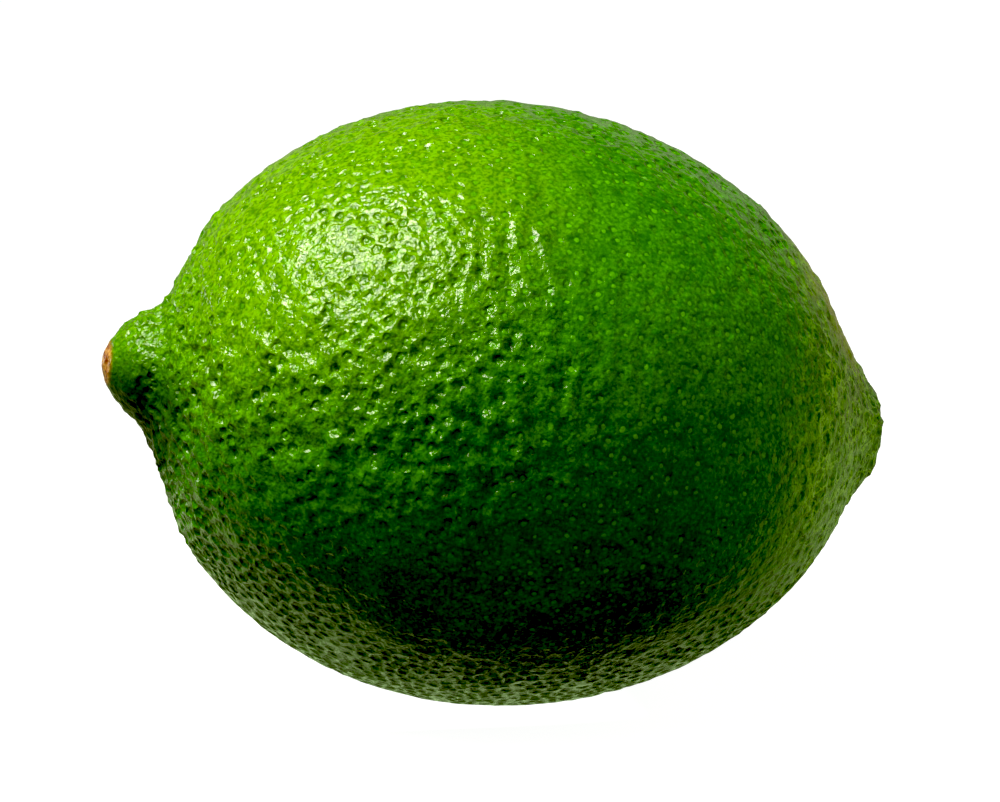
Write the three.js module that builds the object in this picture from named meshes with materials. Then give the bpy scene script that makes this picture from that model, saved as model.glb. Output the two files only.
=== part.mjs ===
// A whole fresh lime, lying on its side as it comes to rest on a table.
//
// The fruit is one grown piece, so the model is one closed solid. Its outline runs from the nipple
// that the flower leaves, along an egg-round body, to the low lobed collar around the stem scar.
// The rind is dimpled all over, one pit for each cell of an irregular net, and the underside is
// pressed to the small flat spot that the fruit rests on.
//
// Millimetres, +Z up. The origin is the middle of the flat spot. The long axis lies along X, with
// the nipple towards -X and a little higher than the stem end.

import * as THREE from "three";
import { ConvexHull } from "three/addons/math/ConvexHull.js";

// The body: two half ellipses that meet at the widest section, which is where x is 0.
const BODY_RADIUS = 25.65;
const NIPPLE_HALF_LENGTH = 29.6;
const STEM_HALF_LENGTH = 31.7;

// The nipple: a blunt dome, then a furrow that parts it from the shoulder of the body.
const NIPPLE_TIP_X = -33.45;
const NIPPLE_TIP_BLUNTNESS = 2.1;
const FURROW_X = -29.55;
const FURROW_RADIUS = 5.0;
const FURROW_SLOPE_DEG = 25;
const DOME_PULL = 1.3;
const FURROW_PULL = 0.9;
const SHOULDER_X = -25.4;
const SHOULDER_PULL = 0.4;

// The furrow is cut deeper above and in front, and eases to a plain cone below.
const FURROW_CUT = 0.52;
const FURROW_CUT_OFFSET = 0.5;
const FURROW_CUT_WIDTH = 0.7;
const FURROW_CUT_SIDE_DEG = 35;

// The stem end: a neck that turns outwards to a low collar, with the stem scar sunk inside it.
const NECK_X = 28.35;
const NECK_PULL = 2.7;
const COLLAR_X = 32.6;
const COLLAR_RADIUS = 4.45;
const COLLAR_SLOPE_DEG = 49;
const COLLAR_PULL = 1.8;
const COLLAR_ROUNDING = 0.6;
const STEM_END_X = 33.7;
const SCAR_RIM_RADIUS = 3.0;
const SCAR_RIM_ROUNDING = 0.5;
const SCAR_DEPTH = 0.8;
const COLLAR_LOBES = 5;
const COLLAR_LOBE_SHARE = 0.06;
const COLLAR_LOBE_LENGTH = 1.6;

// How far the grown shape strays from a turned one.
const OVAL_SHARE = 0.005;
const OVAL_TURN = 0.32;
const TRI_SHARE = -0.016;
const TRI_TURN = -1.3;
const NIPPLE_LIFT = 0.66;
const NIPPLE_LIFT_FROM_X = -27.5;
const NIPPLE_LIFT_TO_X = -30.5;
const COLLAR_LIFT = 0.41;
const COLLAR_LIFT_FROM_X = 30.2;
const COLLAR_LIFT_TO_X = 32.2;
const NECK_SAG = 0.35;
const NECK_SAG_LENGTH = 2.6;

// How it lies: the nipple end raised, and the underside pressed flat by this much.
const NIPPLE_RAISED_DEG = 6.65;
const PRESSED_DEPTH = 0.4;

// The pits. They stand closer together near the two tips, and fade out on the flat spot, the
// nipple's tip and the stem scar.
const PIT_SPACING = 2.08;
const PIT_SPACING_AT_TIPS = 0.95;
const TIP_RADIUS = 3.0;
const FULL_SPACING_RADIUS = 13.0;
const PIT_DEPTH = 0.3;
const PITLESS_HEIGHT = 0.15;
const FULL_PIT_HEIGHT = 1.4;
const PITLESS_RADIUS = 3.4;
const FULL_PIT_RADIUS = 11.0;
const PIT_TRIALS = 60000;
const PIT_SEED = 20417;

// How finely the outline is measured before the pits are placed on it.
const OUTLINE_STEPS = 900;
const TURN_STEPS = 360;

const RIND_COLOUR = 0x4c960c;
const RIND_ROUGHNESS = 0.3;

const SIDEWAYS = new THREE.Vector3(0, 1, 0);
const NIPPLE_RAISED = THREE.MathUtils.degToRad(NIPPLE_RAISED_DEG);
const FURROW_CUT_SIDE = THREE.MathUtils.degToRad(FURROW_CUT_SIDE_DEG);

function smoothstep(from, to, value) {
  const share = THREE.MathUtils.clamp((value - from) / (to - from), 0, 1);
  return share * share * (3 - 2 * share);
}

function bell(distance, width) {
  return Math.exp(-((distance / width) ** 2));
}

// The outline, in x along the fruit and y out from its axis.

function direction(slopeDeg) {
  const slope = THREE.MathUtils.degToRad(slopeDeg);
  return new THREE.Vector2(Math.cos(slope), Math.sin(slope));
}

function ellipsePoint(halfLength, x) {
  return new THREE.Vector2(x, BODY_RADIUS * Math.sqrt(1 - (x / halfLength) ** 2));
}

function ellipseDirection(halfLength, point) {
  const slope = (-(BODY_RADIUS ** 2) * point.x) / (halfLength ** 2 * point.y);
  return new THREE.Vector2(1, slope).normalize();
}

function bodyArc(halfLength, startX, endX) {
  const start = Math.acos(startX / halfLength);
  const end = Math.acos(endX / halfLength);
  return new THREE.EllipseCurve(0, 0, halfLength, BODY_RADIUS, start, end, true);
}

function bezier(start, startPull, endPull, end) {
  const first = start.clone().add(startPull);
  const second = end.clone().sub(endPull);
  return new THREE.CubicBezierCurve(start, first, second, end);
}

function nippleCurves() {
  const tip = new THREE.Vector2(NIPPLE_TIP_X, 0);
  const furrow = new THREE.Vector2(FURROW_X, FURROW_RADIUS);
  const shoulder = ellipsePoint(NIPPLE_HALF_LENGTH, SHOULDER_X);
  const alongFurrow = direction(FURROW_SLOPE_DEG);
  const alongShoulder = ellipseDirection(NIPPLE_HALF_LENGTH, shoulder);
  const blunt = new THREE.Vector2(0, NIPPLE_TIP_BLUNTNESS);
  return [
    bezier(tip, blunt, alongFurrow.clone().multiplyScalar(DOME_PULL), furrow),
    bezier(
      furrow,
      alongFurrow.clone().multiplyScalar(FURROW_PULL),
      alongShoulder.multiplyScalar(SHOULDER_PULL),
      shoulder,
    ),
  ];
}

function stemCurves() {
  const neck = ellipsePoint(STEM_HALF_LENGTH, NECK_X);
  const collar = new THREE.Vector2(COLLAR_X, COLLAR_RADIUS);
  const rim = new THREE.Vector2(STEM_END_X, SCAR_RIM_RADIUS);
  const scar = new THREE.Vector2(STEM_END_X - SCAR_DEPTH, 0);
  const alongNeck = ellipseDirection(STEM_HALF_LENGTH, neck).multiplyScalar(NECK_PULL);
  const alongCollar = direction(-COLLAR_SLOPE_DEG);
  const overRim = new THREE.Vector2(0, -SCAR_RIM_ROUNDING);
  const alongScar = new THREE.Vector2(0, -SCAR_RIM_RADIUS + SCAR_RIM_ROUNDING);
  return [
    bezier(neck, alongNeck, alongCollar.clone().multiplyScalar(COLLAR_PULL), collar),
    bezier(collar, alongCollar.clone().multiplyScalar(COLLAR_ROUNDING), overRim, rim),
    bezier(rim, overRim, alongScar, scar),
  ];
}

function outlinePath() {
  const path = new THREE.CurvePath();
  path.curves.push(...nippleCurves());
  path.curves.push(bodyArc(NIPPLE_HALF_LENGTH, SHOULDER_X, 0));
  path.curves.push(bodyArc(STEM_HALF_LENGTH, 0, NECK_X));
  path.curves.push(...stemCurves());
  return path;
}

// The outline as evenly spaced stations, each with the area up to it and its stretched length,
// which is the length divided by the radius, added up. A map that keeps the turn and the
// stretched length keeps angles, so the net below is as good on the fruit as on a ball.
function measureOutline() {
  const points = outlinePath().getSpacedPoints(OUTLINE_STEPS);
  const step = points[1].distanceTo(points[0]);
  const stations = points.map((point) => ({ x: point.x, radius: point.y, area: 0, stretch: 0 }));
  for (let i = 1; i < stations.length; i++) {
    const middleRadius = (stations[i - 1].radius + stations[i].radius) / 2;
    stations[i].area = stations[i - 1].area + step * middleRadius;
    stations[i].stretch = stations[i - 1].stretch + step / middleRadius;
  }
  const widest = stations.findIndex((station) => station.x >= 0);
  const atWidest = stations[widest].stretch;
  stations.forEach((station) => {
    station.stretch -= atWidest;
  });
  return stations;
}

// The place between two stations where the named measure reaches a value.
function findPlace(stations, measure, value) {
  let low = 0;
  let high = stations.length - 1;
  while (high - low > 1) {
    const middle = (low + high) >> 1;
    if (stations[middle][measure] <= value) {
      low = middle;
    } else {
      high = middle;
    }
  }
  const span = stations[high][measure] - stations[low][measure];
  const share = THREE.MathUtils.clamp((value - stations[low][measure]) / span, 0, 1);
  return low + share;
}

function readStation(stations, place) {
  const low = Math.min(Math.floor(place), stations.length - 2);
  const share = place - low;
  const from = stations[low];
  const to = stations[low + 1];
  return {
    x: THREE.MathUtils.lerp(from.x, to.x, share),
    radius: THREE.MathUtils.lerp(from.radius, to.radius, share),
    stretch: THREE.MathUtils.lerp(from.stretch, to.stretch, share),
    along: new THREE.Vector2(to.x - from.x, to.radius - from.radius).normalize(),
  };
}

// The smooth surface. A turn of 0 is the top, and it grows towards -Y.

function grownRadius(x, radius, turn) {
  const oval = OVAL_SHARE * Math.cos(2 * turn + OVAL_TURN);
  const tri = TRI_SHARE * Math.cos(3 * turn + TRI_TURN);
  const cutSide = Math.cos(turn - FURROW_CUT_SIDE) / 2;
  const cut = FURROW_CUT * cutSide * bell(x - FURROW_X - FURROW_CUT_OFFSET, FURROW_CUT_WIDTH);
  const lobe = COLLAR_LOBE_SHARE * Math.cos(COLLAR_LOBES * turn);
  const lobes = lobe * bell(x - COLLAR_X, COLLAR_LOBE_LENGTH);
  return radius * (1 + (radius / BODY_RADIUS) * (oval + tri) + lobes) - cut;
}

function axisHeight(x) {
  const nipple = NIPPLE_LIFT * smoothstep(NIPPLE_LIFT_FROM_X, NIPPLE_LIFT_TO_X, x);
  const collar = COLLAR_LIFT * smoothstep(COLLAR_LIFT_FROM_X, COLLAR_LIFT_TO_X, x);
  return nipple + collar - NECK_SAG * bell(x - NECK_X, NECK_SAG_LENGTH);
}

function surfacePoint(station, turn) {
  const radius = grownRadius(station.x, station.radius, turn);
  const height = radius * Math.cos(turn) + axisHeight(station.x);
  const point = new THREE.Vector3(station.x, -radius * Math.sin(turn), height);
  return point.applyAxisAngle(SIDEWAYS, NIPPLE_RAISED);
}

function surfaceNormal(station, turn) {
  const outwards = station.along.x;
  const normal = new THREE.Vector3(
    -station.along.y,
    -outwards * Math.sin(turn),
    outwards * Math.cos(turn),
  );
  return normal.applyAxisAngle(SIDEWAYS, NIPPLE_RAISED);
}

// The middle of the flat spot, before the fruit is moved so that this is the origin.
function flatSpotMiddle(stations) {
  const samples = [];
  for (const station of stations) {
    for (let i = 0; i < TURN_STEPS; i++) {
      const point = surfacePoint(station, (i / TURN_STEPS) * 2 * Math.PI);
      samples.push({ point, weight: station.radius });
    }
  }
  const lowest = samples.reduce((least, { point }) => Math.min(least, point.z), Infinity);
  const pressed = samples.filter(({ point }) => point.z < lowest + PRESSED_DEPTH);
  const middle = new THREE.Vector3();
  let total = 0;
  for (const { point, weight } of pressed) {
    middle.addScaledVector(point, weight);
    total += weight;
  }
  middle.divideScalar(total);
  middle.z = lowest + PRESSED_DEPTH;
  return middle;
}

// The pits: their middles are random, and none is nearer to another than the spacing there.

function spacingAt(station) {
  const inwards = smoothstep(TIP_RADIUS, FULL_SPACING_RADIUS, station.radius);
  return THREE.MathUtils.lerp(PIT_SPACING_AT_TIPS, PIT_SPACING, inwards);
}

function placePits(stations) {
  const wholeArea = stations[stations.length - 1].area;
  const pits = [];
  THREE.MathUtils.seededRandom(PIT_SEED);
  for (let i = 0; i < PIT_TRIALS; i++) {
    const area = THREE.MathUtils.seededRandom() * wholeArea;
    const turn = THREE.MathUtils.seededRandom() * 2 * Math.PI;
    const station = readStation(stations, findPlace(stations, "area", area));
    const point = surfacePoint(station, turn);
    const spacing = spacingAt(station);
    if (pits.every((pit) => pit.point.distanceTo(point) > spacing)) {
      pits.push({ station, turn, point });
    }
  }
  return pits;
}

// A ball whose net of triangles is the net of the pits.

function ballPoint(stretch, turn) {
  const height = Math.tanh(stretch);
  const radius = 1 / Math.cosh(stretch);
  return new THREE.Vector3(radius * Math.cos(turn), radius * Math.sin(turn), height);
}

function placeOnFruit(stations, ball) {
  const stretch = Math.atanh(ball.z);
  const station = readStation(stations, findPlace(stations, "stretch", stretch));
  return { station, turn: Math.atan2(ball.y, ball.x) };
}

function ballNet(pits) {
  const balls = pits.map((pit) => ballPoint(pit.station.stretch, pit.turn));
  const pitNumbers = new Map(balls.map((ball, number) => [ball, number]));
  const hull = new ConvexHull().setFromPoints(balls);
  return { faces: hull.faces, pitNumbers };
}

function pitShare(station, height) {
  const aboveFlat = smoothstep(PITLESS_HEIGHT, FULL_PIT_HEIGHT, height);
  const awayFromTips = smoothstep(PITLESS_RADIUS, FULL_PIT_RADIUS, station.radius);
  return aboveFlat * awayFromTips;
}

function pressFlat(point) {
  point.z = Math.max(point.z, 0);
  return point;
}

function pitMiddle(pit, origin) {
  const point = pit.point.clone().sub(origin);
  const depth = PIT_DEPTH * pitShare(pit.station, point.z);
  point.addScaledVector(surfaceNormal(pit.station, pit.turn), -depth);
  return pressFlat(point);
}

function edgesOf(face) {
  return [face.getEdge(0), face.getEdge(1), face.getEdge(2)];
}

function faceMiddle(face, stations, origin) {
  const ball = new THREE.Vector3();
  edgesOf(face).forEach((edge) => ball.add(edge.head().point));
  const place = placeOnFruit(stations, ball.normalize());
  return pressFlat(surfacePoint(place.station, place.turn).sub(origin));
}

// Every pit is a fan of triangles from its middle to the corners of its cell, and a cell's corner
// lies between three pits.
function cellTriangles(faces, pitNumbers) {
  const corners = new Map(faces.map((face, number) => [face, pitNumbers.size + number]));
  const triangles = [];
  for (const edge of faces.flatMap(edgesOf)) {
    const pit = pitNumbers.get(edge.tail().point);
    triangles.push(pit, corners.get(edge.twin.face), corners.get(edge.face));
  }
  return triangles;
}

function rindGeometry() {
  const stations = measureOutline();
  const origin = flatSpotMiddle(stations);
  const pits = placePits(stations);
  const { faces, pitNumbers } = ballNet(pits);
  const middles = pits.map((pit) => pitMiddle(pit, origin));
  const corners = faces.map((face) => faceMiddle(face, stations, origin));
  const geometry = new THREE.BufferGeometry().setFromPoints([...middles, ...corners]);
  geometry.setIndex(cellTriangles(faces, pitNumbers));
  geometry.computeVertexNormals();
  return geometry;
}

function lime() {
  const material = new THREE.MeshStandardMaterial({
    color: RIND_COLOUR,
    roughness: RIND_ROUGHNESS,
    metalness: 0,
  });
  const mesh = new THREE.Mesh(rindGeometry(), material);
  mesh.name = "lime";
  return mesh;
}

const group = new THREE.Group();
group.add(lime());

export default group;
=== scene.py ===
"""A fresh lime lying on a pale table in soft studio light.

The rind is built as a net of uneven oil-gland pits over the same smooth shape as the CAD solid, and
one node-based material gives it its colour, its waxy gloss and its finest relief. Lengths in the
shape functions are millimetres in the fruit's own frame, whose X axis runs from the nipple to the
stem end; the mesh is made in metres in the row's frame. The table, the lights and the black level
are set for the one picture, and belong to the stage and not to the lime.
"""

import math

import bpy
import numpy as np
from mathutils import Matrix, Vector
from mathutils.geometry import delaunay_2d_cdt


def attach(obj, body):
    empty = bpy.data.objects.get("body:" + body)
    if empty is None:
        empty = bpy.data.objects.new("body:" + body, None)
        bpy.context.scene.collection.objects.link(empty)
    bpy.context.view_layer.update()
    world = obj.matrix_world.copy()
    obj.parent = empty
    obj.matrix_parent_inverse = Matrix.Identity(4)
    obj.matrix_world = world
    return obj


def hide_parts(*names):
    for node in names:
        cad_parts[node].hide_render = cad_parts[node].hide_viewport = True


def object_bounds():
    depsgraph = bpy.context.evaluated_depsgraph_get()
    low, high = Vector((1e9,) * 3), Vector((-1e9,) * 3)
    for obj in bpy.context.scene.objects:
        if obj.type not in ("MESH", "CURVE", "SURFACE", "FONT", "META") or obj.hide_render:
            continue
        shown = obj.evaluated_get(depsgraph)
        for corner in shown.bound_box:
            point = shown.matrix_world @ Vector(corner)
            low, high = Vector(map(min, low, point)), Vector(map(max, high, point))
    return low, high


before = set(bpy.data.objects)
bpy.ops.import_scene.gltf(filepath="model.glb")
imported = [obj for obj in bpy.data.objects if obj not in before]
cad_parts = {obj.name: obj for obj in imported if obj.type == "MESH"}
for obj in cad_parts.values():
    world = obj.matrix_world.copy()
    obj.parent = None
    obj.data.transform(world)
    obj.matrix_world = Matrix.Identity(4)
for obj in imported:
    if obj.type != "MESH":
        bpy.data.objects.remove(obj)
cad_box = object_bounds()

MM = 0.001
TURN = 2 * math.pi
NEIGHBOURS = (-1, 0, 1)
SHORTEST_STEP = 1e-9
NET_TOLERANCE = 1e-8
LEAST_STEEPNESS = 1e-3

# The smooth shape, as in the CAD solid.
BODY_RADIUS = 25.65
NIPPLE_HALF_LENGTH = 29.6
STEM_HALF_LENGTH = 31.7
NIPPLE_TIP_X = -33.45
NIPPLE_TIP_BLUNTNESS = 2.1
FURROW_X = -29.55
FURROW_RADIUS = 5.0
FURROW_SLOPE_DEG = 25
DOME_PULL = 1.3
FURROW_PULL = 0.9
SHOULDER_X = -25.4
SHOULDER_PULL = 0.4
FURROW_CUT = 0.52
FURROW_CUT_OFFSET = 0.5
FURROW_CUT_WIDTH = 0.7
FURROW_CUT_SIDE = math.radians(35)
NECK_X = 28.35
NECK_PULL = 2.7
COLLAR_X = 32.6
COLLAR_RADIUS = 4.45
COLLAR_SLOPE_DEG = -49
COLLAR_PULL = 1.8
COLLAR_ROUNDING = 0.6
STEM_END_X = 33.7
SCAR_RIM_RADIUS = 3.0
SCAR_RIM_ROUNDING = 0.5
SCAR_DEPTH = 0.8
COLLAR_LOBES = 5
COLLAR_LOBE_SHARE = 0.06
COLLAR_LOBE_LENGTH = 1.6
OVAL_SHARE = 0.005
OVAL_TURN = 0.32
TRI_SHARE = -0.016
TRI_TURN = -1.3
NIPPLE_LIFT = 0.66
NIPPLE_LIFT_X = (-27.5, -30.5)
COLLAR_LIFT = 0.41
COLLAR_LIFT_X = (30.2, 32.2)
NECK_SAG = 0.35
NECK_SAG_LENGTH = 2.6
NIPPLE_RAISED = math.radians(6.65)
PRESSED_DEPTH = 0.4

# The pits of the rind.
OUTLINE_STEPS = 3000
OUTLINE_SAMPLES = 2000
TURN_STEPS = 360
PIT_SPACING = 1.0
NET_SPACING_SHARE = 0.86
PIT_SPACING_AT_TIPS = 0.62
TIP_RADIUS = 3.0
FULL_SPACING_RADIUS = 12.0
PIT_TRIALS = 130000
PIT_SEED = 7
RELIEF_SEED = 11
SWELLING_SEED = 3
RELAX_STEPS = 1
END_RING_RADIUS = 0.55
END_RING_POINTS = 7
PIT_RADIUS = 0.52
PIT_DEPTH = 0.1
DEEPEST_PIT = 0.19
PIT_SIZE_RANGE = (0.35, 1.35)
PIT_SIZE_POWER = 0.35
PIT_LENGTHENING = 0.5
PIT_RING_JITTER = 0.26
PIT_PATCH_LENGTH = 5.0
PIT_PATCH_SHARE = 0.4
PIT_LEAST_SHARE = 0.3
SHOULDER_CALM_X = (-17.0, -21.5)
SHOULDER_CALM_Z = (5.0, 9.0)
ROUGH_SLANT = 0.5
ROUGH_TO_X = (-2.0, 8.0)
LUMPS_REACH = 5.0
ROUGH_TO_Z = (15.0, 22.0)
UNDERSIDE_Z = (-15.5, -20.5)
UNDERSIDE_RISE = 0.6
UNDERSIDE_RISE_X = 12.0
QUIET_FROM_X = (-27.0, -16.0)
QUIET_BELOW_Z = (-1.0, -9.0)
QUIET_SHARE = 0.9
NET_CORNER_X = -24.0
NET_SLANT = 0.7
NET_LEVEL = (-4.0, -13.0)
NET_WIDENING = 0.2
NET_DEEPENING = 1.0
NET_EVENNESS = 0.7
BELT_DEEPENING = 0.3
BELT_SWELLING = 0.95
BELT_Z = 2.0
BELT_WIDTH = 6.0
BELT_TO_X = (-5.0, 1.0)
NET_CALM = 0.6
STEM_END_RELIEF = 0.5
FAR_SIDE_RELIEF = 0.8
FAR_SIDE_Y = (-15.0, -6.0)
STEM_END_X_FADE = (20.0, 28.0)
SMOOTH_SHARE = 0.42
NIPPLE_FROM_X = (-25.5, -28.5)
TIP_DEPTH_SHARE = 0.2
FINE_LEAST_SHARE = 0.2
CROWN_CALM = 0.4
CROWN_CORNER_X = -12.0
CROWN_SLANT = 0.45
CROWN_LEVEL = (17.0, 21.5)
FURROW_RELIEF = 0.6
FURROW_RELIEF_OFFSET = 1.5
FURROW_RELIEF_LENGTH = 2.5
DETAIL_DEPTH = 0.04
OUTER_RING_LIMIT = 0.9
INNER_RING = 0.5
INNER_DEPTH = 0.82
OUTER_DEPTH = 0.16
PLAIN_RING_LIMIT = 0.62
PLAIN_DEPTH = 0.42
GROOVE_SHARE = 0.02
GROOVE_DEPTH = 0.6

# The random waves: how many each field has, and how their wave numbers vary about its own.
WAVE_COUNT = 24
WAVE_STRETCH = (0.7, 1.4)

# The larger unevenness of the rind: the wavelength and height of each layer of lumps.
LUMPS = ((5.0, 0.03), (2.3, 0.042), (1.2, 0.05))
LUMP_TOP = 0.3
COLUMN_SPACING = 2.3
COLUMN_HEIGHT = 0.2
COLUMN_DRIFT = 1.1
COLUMN_DRIFT_LENGTH = 7.0
COLUMN_BREAK_LENGTH = 3.2
COLUMN_X = -1.0
COLUMN_REACH = 9.0
COLUMN_FROM_Z = (-3.0, 4.0)
COLUMN_TO_Z = (23.0, 18.0)
WRINKLE_COUNT = 26
WRINKLE_DRIFT = 1.6
WRINKLE_DRIFT_LENGTH = 7.0
NIPPLE_WRINKLE = 0.08
NIPPLE_WRINKLE_X = -27.5
NIPPLE_WRINKLE_LENGTH = 4.0
COLLAR_WRINKLE = 0.065
COLLAR_WRINKLE_LENGTH = 4.5
KNOB_LENGTH = 0.9
KNOB_SHARE = 0.8
WRINKLE_TOP = 0.6
ROOM_SOFTNESS = 0.05
STYLE_SCAR_DEPTH = 0.05
STYLE_SCAR_X = NIPPLE_TIP_X + 1
STYLE_SCAR_EDGE = (1.4, 1.9)
FLAT_FADE = (0.02, 0.9)
TIP_FADE_RADIUS = (2.0, 8.0)

# The camera, as the photo seems to be taken: a little from above and from the nipple's side.
PHOTO_WIDTH = 1000
SENSOR_WIDTH = 36.0
PIXELS_PER_MM = 11.722
CAMERA_DISTANCE = 330.0
CAMERA_YAW_DEG = 9.0
CAMERA_RISE_DEG = 10.0
CAMERA_ASIDE = 0.71
CAMERA_ABOVE = 0.28
CLIP_START = 0.01
CLIP_END = 20

# The table, in metres. It is white to the camera, and the zones are how it shows in the lime's gloss: a glow
# of painted light, with painted shadow of the lime in front and at the right.
FLOOR_HALF = 6.0
FLOOR_ROUGHNESS = 0.9
FLOOR_COLOUR = (0.3, 0.3, 0.3, 1.0)
FLOOR_SEEN = 0.96
FLOOR_REFLECTED = 1.15
# Green that stands for light bounced off the lime onto the table: painted light.
FLOOR_REFLECTED_COLOUR = (0.68, 1.0, 0.45, 1.0)
FLOOR_FAR_COLOUR = (0.9, 0.86, 0.6, 1.0)
REFLECTED_BEHIND = (-0.0175, -0.0095)
REFLECTED_SLANT = 0.6
REFLECTED_SLANT_FROM = -0.025
REFLECTED_FAR = (0.12, 0.06)
REFLECTED_FAR_SHARE = 0.6
REFLECTED_LEFT = (0.03, 0.0)
REFLECTED_RIGHT_SHARE = 0.45
REFLECTED_LEFT_END = (-0.1, -0.06)
REFLECTED_LEFT_SHARE = 0.15
FLOOR_UNSEEN_COLOUR = (0.06, 0.06, 0.03, 1.0)

# The picture's darkest tone in red, green and blue, which the view shows as black.
BLACK_LEVEL = (0.018, 0.0345, 0.03)

# The lights: direction as the camera sees it (aside, above, towards), distance and size in metres,
# watts, tint, and whether they light the lime's colour and show in its gloss.
PLAIN_TINT = (1.0, 1.0, 1.0)
KEY_TINT = (1.07, 1.0, 0.84)
RIGHT_TINT = (1.1, 1.0, 0.8)
FILL_TINT = (0.78, 1.0, 0.9)
BACKDROP_TINT = (1.0, 0.94, 0.75)
LIGHTS = {
    "key": ((-0.484, 0.832, 0.27), 0.5, (0.21, 0.21), 3.15, KEY_TINT, True, True),
    "upper": ((-0.34, 0.77, 0.52), 0.6, (0.3, 0.3), 0.6, PLAIN_TINT, True, True),
    "shine": ((-0.57, 0.66, 0.49), 0.6, (0.14, 0.14), 0.4, PLAIN_TINT, False, True),
    "right": ((0.95, 0.15, 0.15), 1.0, (1.6, 1.2), 0.5, PLAIN_TINT, True, True),
    "right_fill": ((0.95, 0.25, 0.2), 1.0, (1.6, 1.2), 2.6, RIGHT_TINT, True, False),
    "back_right": ((0.85, 0.35, -0.45), 1.0, (1.4, 1.2), 2.5, PLAIN_TINT, True, False),
    "low_left": ((-0.8, -0.35, 0.4), 1.0, (1.0, 1.0), 2.8, FILL_TINT, True, False),
    "low_front": ((0.3, 0.1, 1.0), 1.0, (1.4, 1.0), 1.35, PLAIN_TINT, True, False),
    "tip_glint": ((-0.68, 0.09, -0.73), 0.3, (0.05, 0.024), 0.03, PLAIN_TINT, False, True),
    "backdrop": ((0.0, 0.42, -1.0), 1.0, (2.2, 0.7), 1.7, BACKDROP_TINT, False, True),
    "rim_right": ((0.42, 0.54, -0.74), 1.0, (0.8, 0.45), 0.15, PLAIN_TINT, False, True),
}

# What the rind looks like.
CRATER_WALL = (0.5, 1.0)
CRATER_MIDDLE = (0.4, 0.1)
CRATER_MIDDLE_RISE = 0.5
CRATER_LEAST_SHARE = 0.3
CRATER_BUMP = 0.06
LUMP_BUMP = 0.26
GRAIN_BUMP = 0.09
CRATER_WOBBLE = 0.45
DOT_SIDE_X = (-14.0, 4.0)
DOT_LEAST_SHARE = 0.3
ROUGHNESS_RANGE = (0.13, 0.21)
GLAND_EDGE = (0.3, 0.5)
# The darker ring in each pit's hollow: partly pigment, partly painted shade.
GLAND_RING = (0.95, 0.6)
GLAND_RING_SHADE = 0.35
# The side the key light falls on, yellower and lighter: partly the rind's own sun-side tint, partly painted
# light.
SUNNY_AND_LIT_SIDE = (-0.6, -0.41, 0.69)
SUNNY_AND_LIT_RANGE = (15.2, 27.0)
OLIVE_RANGE = (8.0, 27.0)
STEM_END_RANGE = (20.0, 30.0)
COLLAR_NET_STRETCH = (0.55, 1.0, 1.0)
COLLAR_NET_BEND = 1.6
COLLAR_NET_SCALE = 0.9
COLLAR_NET_LINE = (0.01, 0.13)
COLLAR_NET_X = (20.0, 27.0)
COLLAR_RIDGE = (1.25, 1.6)
GOLD_X = (21.0, 28.0)
GOLD_END_X = (29.0, 32.5)
GOLD_SECTOR = (0.6, 1.0)
# Under the nipple: a darker green, partly the rind's own and partly painted shade, and a duller gloss.
NIPPLE_SHADE_X = (-26.0, -28.5)
NIPPLE_SHADE_Z = (3.0, -1.0)
SHADE_DULLING = 0.15
SHADE_GLOSS = 0.1
RIND_GLOSS = 0.5
RIND_IOR = 1.46

# Noises: scale, detail and, where it isn't 0, distortion.
BROAD_NOISE = (0.07, 3.0)
PATCHY_NOISE = (0.55, 4.0, 0.4)
SPECKLE_NOISE = (3.0, 3.0)
GOLD_NOISE = (0.45, 5.0)
SCAR_NOISE = (1.6, 4.0)
FIBRE_NOISE = (1.8, 5.0)
LUMP_NOISE = (1.1, 2.0)
GRAIN_NOISE = (3.2, 3.0)
GLOSS_NOISE = (0.9, 3.0)
BEND_NOISE = (1.1, 3.0)
WOBBLE_NOISE = (1.3, 2.0)
NOISE_MIDDLE = (0.5, 0.5, 0.5)

# Steps: the value at the start and at the end, and what the step gives there, where not 0 and 1.
FRESH_STEP = (0.35, 0.68)
OLIVE_STEP = (*OLIVE_RANGE, 0.0, 0.85)
STEM_END_STEP = (*STEM_END_RANGE, 0.0, 0.85)
LIGHT_PATCH_STEP = (0.4, 0.75, 0.0, 0.45)
DARK_PATCH_STEP = (0.55, 0.3, 0.0, 0.5)
DARK_SPECK_STEP = (0.58, 0.36, 0.0, 0.65)
LIGHT_SPECK_STEP = (0.55, 0.75, 0.0, 0.5)
DOT_TONE_STEP = (0.1, 1.0, 0.25, 0.8)
NET_PATCH_STEP = (0.4, 0.6, 0.35, 1.0)
COLLAR_RIDGE_STEP = (*COLLAR_RIDGE, 0.0, 0.3)
GOLD_PATCH_STEP = (0.36, 0.62, 0.15, 0.85)
FIBRE_STEP = (0.32, 0.68)
ROUGHNESS_STEP = (0.3, 0.7, *ROUGHNESS_RANGE)
SCAR_RAGGEDNESS = 1.2
SCAR_EDGE_STEP = (2.9, 3.4, 1.0, 0.0)
STYLE_SCAR_STEP = (-32.55, -33.0)
STEM_SCAR_STEP = (32.0, 32.6)

# The sockets of a colour mix node.
MIX_SHARE = 0
MIX_FIRST = 6
MIX_SECOND = 7
MIX_RESULT = 2

# The curve from display colours to light, as every common screen has it.
DISPLAY_WHITE = 255
DISPLAY_TOE = 0.04045
DISPLAY_TOE_SLOPE = 12.92
DISPLAY_OFFSET = 0.055
DISPLAY_POWER = 2.4
WHITE = (1.0, 1.0, 1.0, 1.0)


def smoothstep(start, end, value):
    share = np.clip((value - start) / (end - start), 0, 1)
    return share * share * (3 - 2 * share)


def bell(distance, width):
    return np.exp(-((distance / width) ** 2))


# The outline: (x along the fruit, radius) points.


def heading(slope):
    return np.array((math.cos(slope), math.sin(slope)))


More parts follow.
